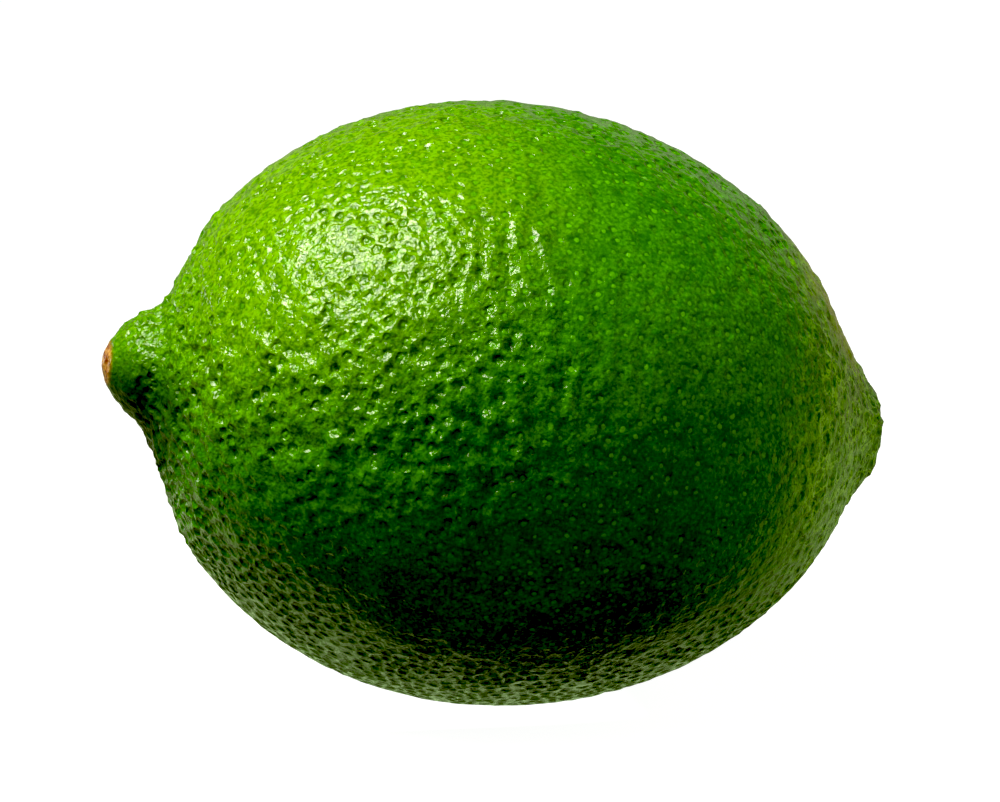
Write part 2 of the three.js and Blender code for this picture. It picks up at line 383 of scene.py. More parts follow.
def bezier(start, start_pull, end_pull, end):
    share = np.linspace(0, 1, OUTLINE_SAMPLES)[:, None]
    rest = 1 - share
    first, second = start + start_pull, end - end_pull
    return rest**3 * start + 3 * rest**2 * share * first + 3 * rest * share**2 * second + share**3 * end


def ellipse_point(half_length, x):
    return np.array((x, BODY_RADIUS * math.sqrt(1 - (x / half_length) ** 2)))


def ellipse_heading(half_length, point):
    slope = -(BODY_RADIUS**2) * point[0] / (half_length**2 * point[1])
    return heading(math.atan(slope))


def body_arc(half_length, start_x, end_x):
    angle = np.linspace(math.acos(start_x / half_length), math.acos(end_x / half_length), OUTLINE_SAMPLES)
    return np.column_stack((half_length * np.cos(angle), BODY_RADIUS * np.sin(angle)))


def nipple_curves():
    furrow = np.array((FURROW_X, FURROW_RADIUS))
    shoulder = ellipse_point(NIPPLE_HALF_LENGTH, SHOULDER_X)
    along_furrow = heading(math.radians(FURROW_SLOPE_DEG))
    along_shoulder = ellipse_heading(NIPPLE_HALF_LENGTH, shoulder)
    tip = np.array((NIPPLE_TIP_X, 0))
    blunt = np.array((0, NIPPLE_TIP_BLUNTNESS))
    return [
        bezier(tip, blunt, along_furrow * DOME_PULL, furrow),
        bezier(furrow, along_furrow * FURROW_PULL, along_shoulder * SHOULDER_PULL, shoulder),
    ]


def stem_curves():
    neck = ellipse_point(STEM_HALF_LENGTH, NECK_X)
    collar = np.array((COLLAR_X, COLLAR_RADIUS))
    rim = np.array((STEM_END_X, SCAR_RIM_RADIUS))
    scar = np.array((STEM_END_X - SCAR_DEPTH, 0))
    along_neck = ellipse_heading(STEM_HALF_LENGTH, neck)
    along_collar = heading(math.radians(COLLAR_SLOPE_DEG))
    over_rim = np.array((0, -SCAR_RIM_ROUNDING))
    along_scar = np.array((0, SCAR_RIM_ROUNDING - SCAR_RIM_RADIUS))
    return [
        bezier(neck, along_neck * NECK_PULL, along_collar * COLLAR_PULL, collar),
        bezier(collar, along_collar * COLLAR_ROUNDING, over_rim, rim),
        bezier(rim, over_rim, along_scar, scar),
    ]


def measure_outline():
    """Evenly spaced stations along the outline, with the area and the stretched length up to each."""
    body = [body_arc(NIPPLE_HALF_LENGTH, SHOULDER_X, 0), body_arc(STEM_HALF_LENGTH, 0, NECK_X)]
    points = np.concatenate(nipple_curves() + body + stem_curves())
    steps = np.hypot(*np.diff(points, axis=0).T)
    points = np.delete(points, np.flatnonzero(steps < SHORTEST_STEP) + 1, axis=0)
    length = np.concatenate(([0], np.cumsum(np.hypot(*np.diff(points, axis=0).T))))
    even = np.linspace(0, length[-1], OUTLINE_STEPS + 1)
    x, radius = (np.interp(even, length, column) for column in points.T)
    middle = (radius[1:] + radius[:-1]) / 2
    area = np.concatenate(([0], np.cumsum(middle)))
    stretch = np.concatenate(([0], np.cumsum(even[1] / middle)))
    stretch -= stretch[np.argmax(x >= 0)]
    slope = np.arctan2(np.gradient(radius), np.gradient(x))
    return {"x": x, "radius": radius, "area": area, "stretch": stretch, "slope": slope}


OUTLINE = measure_outline()


def station(measure, value):
    """x, radius, stretch and slope where the named measure of the outline reaches the values."""
    keys = ("x", "radius", "stretch", "slope")
    return tuple(np.interp(value, OUTLINE[measure], OUTLINE[key]) for key in keys)


# The smooth surface. A turn of 0 is the top, and it grows towards -Y.


def grown_radius(x, radius, turn):
    oval = OVAL_SHARE * np.cos(2 * turn + OVAL_TURN)
    tri = TRI_SHARE * np.cos(3 * turn + TRI_TURN)
    cut = FURROW_CUT * np.cos(turn - FURROW_CUT_SIDE) / 2
    cut = cut * bell(x - FURROW_X - FURROW_CUT_OFFSET, FURROW_CUT_WIDTH)
    lobes = COLLAR_LOBE_SHARE * np.cos(COLLAR_LOBES * turn) * bell(x - COLLAR_X, COLLAR_LOBE_LENGTH)
    return radius * (1 + radius / BODY_RADIUS * (oval + tri) + lobes) - cut


def axis_height(x):
    nipple = NIPPLE_LIFT * smoothstep(*NIPPLE_LIFT_X, x)
    collar = COLLAR_LIFT * smoothstep(*COLLAR_LIFT_X, x)
    return nipple + collar - NECK_SAG * bell(x - NECK_X, NECK_SAG_LENGTH)


def fruit_point(x, radius, turn):
    grown = grown_radius(x, radius, turn)
    return np.stack((x + 0 * turn, -grown * np.sin(turn), grown * np.cos(turn) + axis_height(x)), axis=-1)


def fruit_normal(slope, turn):
    out = np.cos(slope)
    return np.stack((-np.sin(slope) + 0 * turn, -out * np.sin(turn), out * np.cos(turn)), axis=-1)


def raised(points):
    """From the fruit's own frame to the way it lies: the nipple end lifted."""
    cos, sin = math.cos(NIPPLE_RAISED), math.sin(NIPPLE_RAISED)
    x, y, z = points[..., 0], points[..., 1], points[..., 2]
    return np.stack((x * cos + z * sin, y, z * cos - x * sin), axis=-1)


def flat_spot_middle():
    turns = np.linspace(0, TURN, TURN_STEPS, endpoint=False)
    x, radius = OUTLINE["x"][:, None], OUTLINE["radius"][:, None]
    points = raised(fruit_point(x, radius, turns[None, :]))
    weights = np.broadcast_to(radius, points.shape[:2])
    height = points[..., 2]
    pressed = height < height.min() + PRESSED_DEPTH
    middle = np.average(points[pressed], axis=0, weights=weights[pressed])
    middle[2] = height.min() + PRESSED_DEPTH
    return middle


ORIGIN = flat_spot_middle()


# The net of pits.


def spacing_at(points, radius):
    inwards = np.maximum(smoothstep(TIP_RADIUS, FULL_SPACING_RADIUS, radius), points[:, 0] > 0)
    spacing = PIT_SPACING_AT_TIPS + (PIT_SPACING - PIT_SPACING_AT_TIPS) * inwards
    return spacing * (1 - (1 - NET_SPACING_SHARE) * net_share(points))


def end_stations():
    """The stations of the two small rings that the net of pits ends at."""
    inside = np.flatnonzero(OUTLINE["radius"] >= END_RING_RADIUS)
    return inside[0], inside[-1]


def near_cells(cell):
    x, y, z = cell
    return [(x + i, y + j, z + k) for i in NEIGHBOURS for j in NEIGHBOURS for k in NEIGHBOURS]


def keep_apart(points, spacings, kept_first):
    """The numbers of the points that lie no nearer to an earlier kept one than their spacing."""
    cells = {}
    kept = []
    for number, (point, spacing) in enumerate(zip(points.tolist(), spacings.tolist())):
        cell = tuple(int(part // PIT_SPACING) for part in point)
        if number >= kept_first:
            near = (other for key in near_cells(cell) for other in cells.get(key, ()))
            if any(math.dist(point, other) < spacing for other in near):
                continue
        cells.setdefault(cell, []).append(point)
        kept.append(number)
    return kept


def relaxed(turns, stretches, fixed):
    """The pits moved to the middles of their neighbours, all but the first few."""
    triangles, middles = flat_net(turns, stretches)
    owners = triangles.ravel()
    middles = np.repeat(middles, 3, axis=0)
    aside = (middles[:, 0] - turns[owners] + math.pi) % TURN - math.pi
    along = middles[:, 1] - stretches[owners]
    count = np.bincount(owners)
    aside, along = (np.bincount(owners, weights=shift) / count for shift in (aside, along))
    aside[:fixed] = along[:fixed] = 0
    return (turns + aside + math.pi) % TURN - math.pi, stretches + along


def place_pits(random):
    """Turn and stretched length of the pits, with the two end rings first."""
    first, last = end_stations()
    ring = np.arange(END_RING_POINTS) * TURN / END_RING_POINTS - math.pi
    areas = random.uniform(OUTLINE["area"][first], OUTLINE["area"][last], PIT_TRIALS)
    areas = np.concatenate((OUTLINE["area"][[first] * len(ring)], OUTLINE["area"][[last] * len(ring)], areas))
    turns = np.concatenate((ring, ring, random.uniform(-math.pi, math.pi, PIT_TRIALS)))
    x, radius, stretch, _ = station("area", areas)
    points = fruit_point(x, radius, turns)
    kept = keep_apart(points, spacing_at(points, radius), 2 * len(ring))
    turns, stretches = turns[kept], stretch[kept]
    for _ in range(RELAX_STEPS):
        turns, stretches = relaxed(turns, stretches, 2 * len(ring))
    return turns, stretches


def flat_net(turns, stretches):
    """The triangles between the pits on the unrolled rind, and the turn and stretch of their middles."""
    count = len(turns)
    copies = np.concatenate([np.column_stack((turns + lap * TURN, stretches)) for lap in NEIGHBOURS])
    net = delaunay_2d_cdt([Vector(place) for place in copies.tolist()], [], [], 0, NET_TOLERANCE)
    sources = np.array([ids[0] for ids in net[3]])
    triangles = sources[np.array(net[2])]
    middles = copies[triangles].mean(axis=1)
    inside = (middles[:, 0] >= -math.pi) & (middles[:, 0] < math.pi)
    return triangles[inside] % count, middles[inside]


def end_caps(count):
    """The fans that close the two end rings, each round a middle point of its own."""
    ring = np.arange(END_RING_POINTS)
    after = (ring + 1) % END_RING_POINTS
    nipple = np.column_stack((np.full_like(ring, count), after, ring))
    stem = np.column_stack((np.full_like(ring, count + 1), ring, after))
    stem[:, 1:] += END_RING_POINTS
    return nipple, stem


def right_neighbours(triangles):
    """For each corner of each triangle, the corner of the same pit in the triangle to its right."""
    tails = triangles.ravel()
    heads = np.roll(triangles, -1, axis=1).ravel()
    count = tails.max() + 1
    forward, back = tails * count + heads, heads * count + tails
    order = np.argsort(forward)
    twins = order[np.searchsorted(forward[order], back)]
    return twins - twins % 3 + (twins + 1) % 3


def length(vectors):
    return np.sqrt((vectors**2).sum(axis=-1))


class Waves:
    """A smooth random field of plane waves, with a mean of 0 and a spread of about 1."""

    def __init__(self, random, wavelength):
        directions = random.normal(size=(WAVE_COUNT, 3))
        sizes = random.uniform(*WAVE_STRETCH, WAVE_COUNT) * TURN / wavelength
        self.waves = directions / length(directions)[:, None] * sizes[:, None]
        self.phases = random.uniform(0, TURN, WAVE_COUNT)

    def at(self, points):
        return np.cos(points @ self.waves.T + self.phases).sum(axis=-1) * math.sqrt(2 / len(self.phases))


def rind_net(random):
    """The pits, the corners of their cells and the triangles between the pits, on the smooth surface."""
    turns, stretches = place_pits(random)
    triangles, places = flat_net(turns, stretches)
    nipple_cap, stem_cap = end_caps(len(turns))
    x, radius, _, slope = station("stretch", stretches)
    ends = np.array([(OUTLINE["x"][0], 0, 0), (OUTLINE["x"][-1], 0, 0)])
    ends[:, 2] = axis_height(ends[:, 0])
    pits = np.concatenate((fruit_point(x, radius, turns), ends))
    pit_normals = np.concatenate((fruit_normal(slope, turns), [(-1, 0, 0), (1, 0, 0)]))
    x, radius, _, slope = station("stretch", places[:, 1])
    caps = np.concatenate((nipple_cap, stem_cap))
    corners = np.concatenate((fruit_point(x, radius, places[:, 0]), pits[caps].mean(axis=1)))
    cap_normals = pit_normals[caps[:, 0]]
    corner_normals = np.concatenate((fruit_normal(slope, places[:, 0]), cap_normals))
    triangles = np.concatenate((triangles, caps))
    return pits, pit_normals, corners, corner_normals, triangles


def height_above_flat(points):
    return raised(points)[..., 2] - ORIGIN[2]


def net_share(points):
    """Where the pits leave only a net of ridges between them: below, and under the nipple."""
    level = points[:, 2] + NET_SLANT * (points[:, 0] - NET_CORNER_X)
    underside = points[:, 2] - UNDERSIDE_RISE * np.maximum(points[:, 0] - UNDERSIDE_RISE_X, 0)
    return np.maximum(smoothstep(*NET_LEVEL, level), smoothstep(*UNDERSIDE_Z, underside))


def belt_share(points):
    """The belt along the side of the nipple's half where the relief is strongest."""
    return bell(points[:, 2] - BELT_Z, BELT_WIDTH) * (1 - smoothstep(*BELT_TO_X, points[:, 0]))


def relief_share(points, reach=0.0):
    """How strong the relief is: full on the sides of the nipple's half and underneath."""
    x, z = points[:, 0], points[:, 2]
    calm_shoulder = smoothstep(*SHOULDER_CALM_X, x) * smoothstep(*SHOULDER_CALM_Z, z)
    quiet = QUIET_SHARE * smoothstep(*QUIET_FROM_X, x) * smoothstep(*QUIET_BELOW_Z, z)
    rough = (1 - calm_shoulder) * (1 - quiet) * (1 - smoothstep(*ROUGH_TO_Z, z))
    rough *= 1 - smoothstep(*ROUGH_TO_X, x + ROUGH_SLANT * z - reach)
    stem_end = STEM_END_RELIEF * smoothstep(*STEM_END_X_FADE, x)
    far_side = FAR_SIDE_RELIEF * smoothstep(*FAR_SIDE_Y, points[:, 1])
    strongest = np.maximum(np.maximum(rough, stem_end), np.maximum(far_side, net_share(points)))
    return SMOOTH_SHARE + (1 - SMOOTH_SHARE) * strongest


def away_from_tips(points):
    off_axis = np.hypot(points[:, 1], points[:, 2])
    return TIP_DEPTH_SHARE + (1 - TIP_DEPTH_SHARE) * smoothstep(*TIP_FADE_RADIUS, off_axis)


def crown_share(points):
    """The crown of the fruit and the nipple's upper shoulder, where the rind is calmest."""
    level = points[:, 2] + CROWN_SLANT * np.maximum(CROWN_CORNER_X - points[:, 0], 0)
    return smoothstep(*CROWN_LEVEL, level)


def fine_relief(points):
    """How strong the finest relief is: nowhere lost, and strongest in the furrow at the nipple."""
    share = np.maximum(relief_share(points, LUMPS_REACH), smoothstep(*NIPPLE_FROM_X, points[:, 0]))
    furrow = FURROW_RELIEF * bell(points[:, 0] - FURROW_X - FURROW_RELIEF_OFFSET, FURROW_RELIEF_LENGTH)
    share = FINE_LEAST_SHARE + (1 - FINE_LEAST_SHARE) * share
    return share * (1 - CROWN_CALM * crown_share(points)) + furrow


def pit_depths(pits, random):
    """Depth and radius of each pit."""
    flat = smoothstep(*FLAT_FADE, height_above_flat(pits))
    net = net_share(pits)
    patches = PIT_PATCH_SHARE * (1 - NET_EVENNESS * net) * Waves(random, PIT_PATCH_LENGTH).at(pits)
    patches = np.clip(1 + patches, PIT_LEAST_SHARE, None)
    sizes = random.uniform(*PIT_SIZE_RANGE, len(pits))
    sizes += NET_EVENNESS * net * (1 - sizes)
    depths = PIT_DEPTH * sizes * patches * relief_share(pits) * away_from_tips(pits) * flat
    depths *= 1 + np.maximum(NET_DEEPENING * net, BELT_DEEPENING * belt_share(pits))
    depths = np.minimum(depths, DEEPEST_PIT)
    return depths, PIT_RADIUS * sizes**PIT_SIZE_POWER * (1 + NET_WIDENING * net)


def grooved_corners(triangles, right, random):
    """How deep each corner of the net is cut, where two pits have run together in a groove."""
    chosen = random.random(len(right)) < GROOVE_SHARE
    cuts = np.zeros(len(triangles))
    edges = np.flatnonzero(chosen)
    cuts[edges // 3] = GROOVE_DEPTH
    cuts[right[edges] // 3] = GROOVE_DEPTH
    return cuts


def columns(points, random):
    """Faint broken ribs round the fruit's upper middle."""
    x, z = points[:, 0], points[:, 2]
    drift = COLUMN_DRIFT * Waves(random, COLUMN_DRIFT_LENGTH).at(points)
    broken = np.clip(1 + Waves(random, COLUMN_BREAK_LENGTH).at(points), 0, 2) / 2
    share = bell(x - COLUMN_X, COLUMN_REACH) * smoothstep(*COLUMN_FROM_Z, z) * smoothstep(*COLUMN_TO_Z, z)
    return COLUMN_HEIGHT * share * broken * np.cos(TURN * x / COLUMN_SPACING + drift)


def lumps(points, random):
    """Uneven swellings of every size between the pits, weaker where the pits are."""
    share = relief_share(points, LUMPS_REACH) * away_from_tips(points) * (1 - NET_CALM * net_share(points))
    share *= 1 + BELT_SWELLING * belt_share(points)
    total = np.zeros(len(points))
    for wavelength, height in LUMPS:
        total += height * share * (Waves(random, wavelength).at(points) - LUMP_TOP)
    total += columns(points, random)
    return total * smoothstep(*FLAT_FADE, height_above_flat(points))


def wrinkles(points, random):
    """Fine ridges that run along the fruit at the nipple and the collar, broken by knobs."""
    x = points[:, 0]
    turn = np.arctan2(-points[:, 1], points[:, 2] - axis_height(x))
    drift = Waves(random, WRINKLE_DRIFT_LENGTH).at(points)
    ridges = np.cos(WRINKLE_COUNT * turn + WRINKLE_DRIFT * drift)
    nipple = NIPPLE_WRINKLE * bell(x - NIPPLE_WRINKLE_X, NIPPLE_WRINKLE_LENGTH)
    collar = COLLAR_WRINKLE * bell(x - STEM_END_X, COLLAR_WRINKLE_LENGTH)
    knobs = Waves(random, KNOB_LENGTH).at(points)
    return (nipple + collar) * (ridges + KNOB_SHARE * knobs - WRINKLE_TOP)


def room_outwards(points, normals):
    """How far each point can move outwards before it leaves the CAD solid's box, the table side apart."""
    start, out = raised(points) - ORIGIN, raised(normals)
    low, high = np.array(cad_box) / MM
    steepness = np.maximum(np.abs(out), LEAST_STEEPNESS)
    room = np.where(out > 0, high - start, start - low) / steepness
    room[:, 2] = np.where(out[:, 2] > 0, room[:, 2], np.inf)
    return room.min(axis=1)


def kept_within(room, heights):
    """The heights, levelling off softly as they come near the room there is."""
    return heights - ROOM_SOFTNESS * np.logaddexp(0, (heights - room) / ROOM_SOFTNESS)


def style_scar(points):
    """The shallow dish where the flower's style dried off the nipple."""
    off_axis = np.hypot(points[:, 1], points[:, 2] - NIPPLE_LIFT)
    at_tip = smoothstep(FURROW_X, STYLE_SCAR_X, points[:, 0])
    return -STYLE_SCAR_DEPTH * at_tip * (1 - smoothstep(*STYLE_SCAR_EDGE, off_axis))


def lengthened(outwards, owners, random):
    """How many times its radius each pit reaches towards each corner: pits are uneven and oval."""
    side = np.sign(outwards[:, 1] + outwards[:, 2])
    turn = np.arctan2(outwards[:, 0], length(outwards[:, 1:]) * side)
    sideways = random.uniform(0, TURN, owners.max() + 1)[owners]
    oval = random.uniform(0, PIT_LENGTHENING, owners.max() + 1)[owners]
    jitter = random.uniform(-PIT_RING_JITTER, PIT_RING_JITTER, len(owners))
    return 1 + oval * np.cos(2 * (turn - sideways)) + jitter


def pit_rings(pits, corners, radii, detailed, owners, faces, random):
    """The inner and the outer ring of each pit, one point of each towards each corner of its cell."""
    limits = np.where(detailed, OUTER_RING_LIMIT, PLAIN_RING_LIMIT)[owners, None]
    outwards = corners[faces] - pits[owners]
    reach = length(outwards)[:, None]
    uneven = lengthened(outwards, owners, random)[:, None]
    outer_reach = np.minimum(radii[owners, None] * uneven, limits * reach)
    inner = pits[owners] + outwards / reach * outer_reach * INNER_RING
    outer = pits[owners] + outwards / reach * outer_reach
    return inner, outer


def ring_heights(depths, detailed, cuts, owners, faces):
    """The heights of the inner and of the outer ring."""
    outer_share = np.where(detailed, OUTER_DEPTH, PLAIN_DEPTH)[owners]
    return -depths[owners] * INNER_DEPTH, -depths[owners] * np.maximum(outer_share, cuts[faces])


def with_relief(points, normals, heights):
    """The points moved out to the uneven surface, in metres in the row's frame, inside the CAD box."""
    swellings = np.random.default_rng(SWELLING_SEED)
    heights = heights + lumps(points, swellings) + wrinkles(points, swellings) + style_scar(points)
    heights = kept_within(room_outwards(points, normals), heights)
    placed = raised(points + normals * heights[:, None]) - ORIGIN
    placed[:, 2] = np.maximum(placed[:, 2], 0)
    return np.clip(placed * MM, np.array(cad_box[0]), np.array(cad_box[1]))


def net_triangles(detailed, owners, faces, right, starts):
    """The triangles of the rind, and the pit that each belongs to. Plain pits have no inner ring."""
    first, second, corner = starts
    sides = np.arange(len(right))
    fine = np.flatnonzero(detailed[owners])
    plain = np.flatnonzero(~detailed[owners])
    pieces = [
        (owners[fine], first + right[fine], first + fine),
        (first + right[fine], second + right[fine], second + fine),
        (first + right[fine], second + fine, first + fine),
        (owners[plain], second + right[plain], second + plain),
        (second + right, corner + right // 3, corner + faces),
        (second + right, corner + faces, second + sides),
    ]
    owner_of_face = np.concatenate([owners[fine]] * 3 + [owners[plain]] + [owners] * 2)
    return np.concatenate([np.column_stack(piece) for piece in pieces]), owner_of_face


def rind_mesh():
    net = rind_net(np.random.default_rng(PIT_SEED))
    pits, pit_normals, corners, corner_normals, triangles = net
    random = np.random.default_rng(RELIEF_SEED)
    right = right_neighbours(triangles)
    owners, faces = triangles.ravel(), np.repeat(np.arange(len(triangles)), 3)
    depths, radii = pit_depths(pits, random)
    cuts = grooved_corners(triangles, right, random)
    detailed = depths > DETAIL_DEPTH
    inner, outer = pit_rings(pits, corners, radii, detailed, owners, faces, random)
    inner_heights, outer_heights = ring_heights(depths, detailed, cuts, owners, faces)
    corner_heights = -cuts * depths[triangles].max(axis=1)

    points = np.concatenate((pits, inner, outer, corners))
    ring_normals = pit_normals[owners]
    normals = np.concatenate((pit_normals, ring_normals, ring_normals, corner_normals))
    heights = np.concatenate((-depths, inner_heights, outer_heights, corner_heights))
    placed = with_relief(points, normals, heights)
    starts = np.cumsum((len(pits), len(inner), len(outer)))
    mesh_triangles, owner_of_face = net_triangles(detailed, owners, faces, right, starts)
    used, mesh_triangles = np.unique(mesh_triangles, return_inverse=True)
    mesh_triangles = mesh_triangles.reshape(-1, 3)
    mesh = bpy.data.meshes.new("lime_rind")
    mesh.from_pydata(placed[used].tolist(), [], mesh_triangles.tolist())
    mesh.shade_smooth()
    pit_middles, tones = placed[: len(pits)], random.random(len(pits))
    add_attribute(mesh, "fruit_mm", "FLOAT_VECTOR", "POINT", points[used])
    add_attribute(mesh, "relief", "FLOAT", "POINT", fine_relief(points[used]))
    add_attribute(mesh, "pit_middle", "FLOAT_VECTOR", "FACE", pit_middles[owner_of_face])
    add_attribute(mesh, "pit_radius", "FLOAT", "FACE", radii[owner_of_face] * MM)
    add_attribute(mesh, "pit_tone", "FLOAT", "FACE", tones[owner_of_face])
    add_attribute(mesh, "pit_share", "FLOAT", "FACE", (depths / PIT_DEPTH)[owner_of_face])
    return mesh


def add_attribute(mesh, name, kind, domain, values):
    attribute = mesh.attributes.new(name, kind, domain)
    key = "vector" if kind == "FLOAT_VECTOR" else "value"
    attribute.data.foreach_set(key, np.ascontiguousarray(values, dtype=np.float32).ravel())


# Materials. Each helper adds one node and returns the socket that the next one reads.


class Nodes:
    def __init__(self, tree):
        self.tree = tree
        tree.nodes.clear()

    def add(self, kind, inputs=(), **settings):
        node = self.tree.nodes.new(kind)
        for key, value in settings.items():
            setattr(node, key, value)
        for key, value in dict(inputs).items():
            self.feed(node.inputs[key], value)
        return node

    def feed(self, socket, value):
        if isinstance(value, bpy.types.NodeSocket):
            self.tree.links.new(value, socket)
        else:
            socket.default_value = value

    def maths(self, operation, first, second=0.0):
        return self.add("ShaderNodeMath", {0: first, 1: second}, operation=operation).outputs[0]

    def vector_maths(self, operation, first, second=(0.0, 0.0, 0.0)):
        node = self.add("ShaderNodeVectorMath", {0: first, 1: second}, operation=operation)
        return node.outputs["Value" if operation in ("LENGTH", "DISTANCE", "DOT_PRODUCT") else "Vector"]

    def between(self, value, start, end, low=0.0, high=1.0):
        """low where value is start, high where it is end, and a smooth step between."""
        node = self.add("ShaderNodeMapRange", {"Value": value, "From Min": start, "From Max": end},
                        interpolation_type="SMOOTHSTEP")
        node.inputs["To Min"].default_value = low
        node.inputs["To Max"].default_value = high
        return node.outputs["Result"]

    def noise(self, place, scale, detail, distortion=0.0, output="Fac"):
        inputs = {"Vector": place, "Scale": scale, "Detail": detail, "Distortion": distortion}
        return self.add("ShaderNodeTexNoise", inputs).outputs[output]

    def mix(self, share, first, second):
        node = self.add("ShaderNodeMix", data_type="RGBA", clamp_factor=True)
        self.feed(node.inputs[MIX_SHARE], share)
        self.feed(node.inputs[MIX_FIRST], first)
        self.feed(node.inputs[MIX_SECOND], second)
        return node.outputs[MIX_RESULT]

    def attribute(self, name, output):
        return self.add("ShaderNodeAttribute", attribute_name=name).outputs[output]

    def parts(self, vector):
        return self.add("ShaderNodeSeparateXYZ", {0: vector}).outputs

    def finish(self, kind, shader):
        self.add(kind, {"Surface": shader.outputs[0]})


def linear(part):
    share = part / DISPLAY_WHITE
    if share <= DISPLAY_TOE:
        return share / DISPLAY_TOE_SLOPE
    return ((share + DISPLAY_OFFSET) / (1 + DISPLAY_OFFSET)) ** DISPLAY_POWER


def colour(red, green, blue):
    """A display colour, 0 to 255, as the shader wants it."""
    return (linear(red), linear(green), linear(blue), 1.0)


DEEP_GREEN = colour(63, 144, 4)
FRESH_GREEN = colour(75, 156, 4)
YELLOW_GREEN = colour(134, 192, 8)
LIGHT_MOTTLE = colour(88, 176, 8)
# Partly the rind's own darker green under the nipple, partly painted shade.
SHADE_GREEN = colour(48, 100, 5)
DARK_MOTTLE = colour(44, 116, 2)
GLAND_GREEN = colour(112, 208, 52)
OLIVE_GREEN = colour(78, 180, 8)
STEM_END_GREEN = colour(62, 154, 5)
NET_PALE = colour(168, 240, 70)
GOLD_YELLOW = colour(190, 208, 36)
SCAR_DARK = colour(128, 66, 26)
SCAR_PALE = colour(226, 172, 92)
STEM_DARK = colour(74, 62, 26)
STEM_PALE = colour(164, 152, 92)


def cell_lines(nodes, place):
    """The bent lines of an uneven net of cells, a little longer along the fruit."""
    bend = nodes.noise(place, *BEND_NOISE, output="Color")
    bend = nodes.vector_maths("MULTIPLY", bend, (COLLAR_NET_BEND,) * 3)
    stretched = nodes.vector_maths("MULTIPLY", place, COLLAR_NET_STRETCH)
    inputs = {"Vector": nodes.vector_maths("ADD", stretched, bend), "Scale": COLLAR_NET_SCALE}
    cells = nodes.add("ShaderNodeTexVoronoi", inputs, feature="DISTANCE_TO_EDGE").outputs["Distance"]
    return nodes.between(cells, *COLLAR_NET_LINE, 1.0, 0.0)


def body_colour(nodes, place, along, patchy):
    """Green, yellower and lighter on the upper side the key light falls on, partly the rind's own tint and
    partly painted light, and deeper at the stem end, mottled and speckled.
    """
    speckle = nodes.noise(place, *SPECKLE_NOISE)
    broad = nodes.between(nodes.noise(place, *BROAD_NOISE), *FRESH_STEP)
    body = nodes.mix(broad, DEEP_GREEN, FRESH_GREEN)
    # Yellower, lighter green where the key light falls: partly the rind's own tint, partly painted light.
    sunny_and_lit = nodes.between(nodes.vector_maths("DOT_PRODUCT", place, SUNNY_AND_LIT_SIDE), *SUNNY_AND_LIT_RANGE)
    body = nodes.mix(sunny_and_lit, body, YELLOW_GREEN)
    body = nodes.mix(nodes.between(along, *OLIVE_STEP), body, OLIVE_GREEN)
    body = nodes.mix(nodes.between(along, *STEM_END_STEP), body, STEM_END_GREEN)
    body = nodes.mix(nodes.between(patchy, *LIGHT_PATCH_STEP), body, LIGHT_MOTTLE)
    body = nodes.mix(nodes.between(patchy, *DARK_PATCH_STEP), body, DARK_MOTTLE)
    body = nodes.mix(nodes.between(speckle, *DARK_SPECK_STEP), body, DARK_MOTTLE)
    return nodes.mix(nodes.between(speckle, *LIGHT_SPECK_STEP), body, GLAND_GREEN)


def with_glands(nodes, body, along, pit_distance):
    """A darker ring in the hollow of each gland's pit, partly pigment and partly painted shade, and a paler
    dot over the gland.
    """
    # The ring darkens the pit's hollow: partly pigment, partly painted shade.
    ring = nodes.between(pit_distance, *GLAND_RING, 0.0, GLAND_RING_SHADE)
    body = nodes.mix(ring, body, DARK_MOTTLE)
    tone = nodes.between(nodes.attribute("pit_tone", "Fac"), *DOT_TONE_STEP)
    dot = nodes.maths("MULTIPLY", nodes.between(pit_distance, *GLAND_EDGE, 1.0, 0.0), tone)
    dot = nodes.maths("MULTIPLY", dot, nodes.between(along, *DOT_SIDE_X, DOT_LEAST_SHARE, 1.0))
    return nodes.mix(dot, body, GLAND_GREEN)


def with_net(nodes, body, place, along, patchy, pit_distance):
    """The pale net of lines and ridges round the collar."""
    lines = nodes.maths("MULTIPLY", cell_lines(nodes, place), nodes.between(patchy, *NET_PATCH_STEP))
    net = nodes.maths("MAXIMUM", lines, nodes.between(pit_distance, *COLLAR_RIDGE_STEP))
    net = nodes.maths("MULTIPLY", net, nodes.between(along, *COLLAR_NET_X))
    return nodes.mix(net, body, NET_PALE)


def with_gold(nodes, body, place, along, upward, off_axis):
    """The ragged yellow patch on the upper shoulder of the stem end."""
    gold = nodes.between(nodes.maths("DIVIDE", upward, off_axis), *GOLD_SECTOR)
    gold = nodes.maths("MULTIPLY", gold, nodes.between(along, *GOLD_X))
    gold = nodes.maths("MULTIPLY", gold, nodes.between(along, *GOLD_END_X, 1.0, 0.0))
    ragged = nodes.between(nodes.noise(place, *GOLD_NOISE), *GOLD_PATCH_STEP)
    return nodes.mix(nodes.maths("MULTIPLY", gold, ragged), body, GOLD_YELLOW)


def with_scars(nodes, body, place, along, off_axis):
    """The brown scars of the style and of the stem, with ragged edges and fibres."""
    unevenness = nodes.maths("MULTIPLY", nodes.noise(place, *SCAR_NOISE), SCAR_RAGGEDNESS)
    inside = nodes.between(nodes.maths("ADD", off_axis, unevenness), *SCAR_EDGE_STEP)
    style = nodes.maths("MULTIPLY", inside, nodes.between(along, *STYLE_SCAR_STEP))
    stem = nodes.maths("MULTIPLY", inside, nodes.between(along, *STEM_SCAR_STEP))
    fibres = nodes.between(nodes.noise(place, *FIBRE_NOISE), *FIBRE_STEP)
    body = nodes.mix(style, body, nodes.mix(fibres, SCAR_DARK, SCAR_PALE))
    return nodes.mix(stem, body, nodes.mix(fibres, STEM_DARK, STEM_PALE))


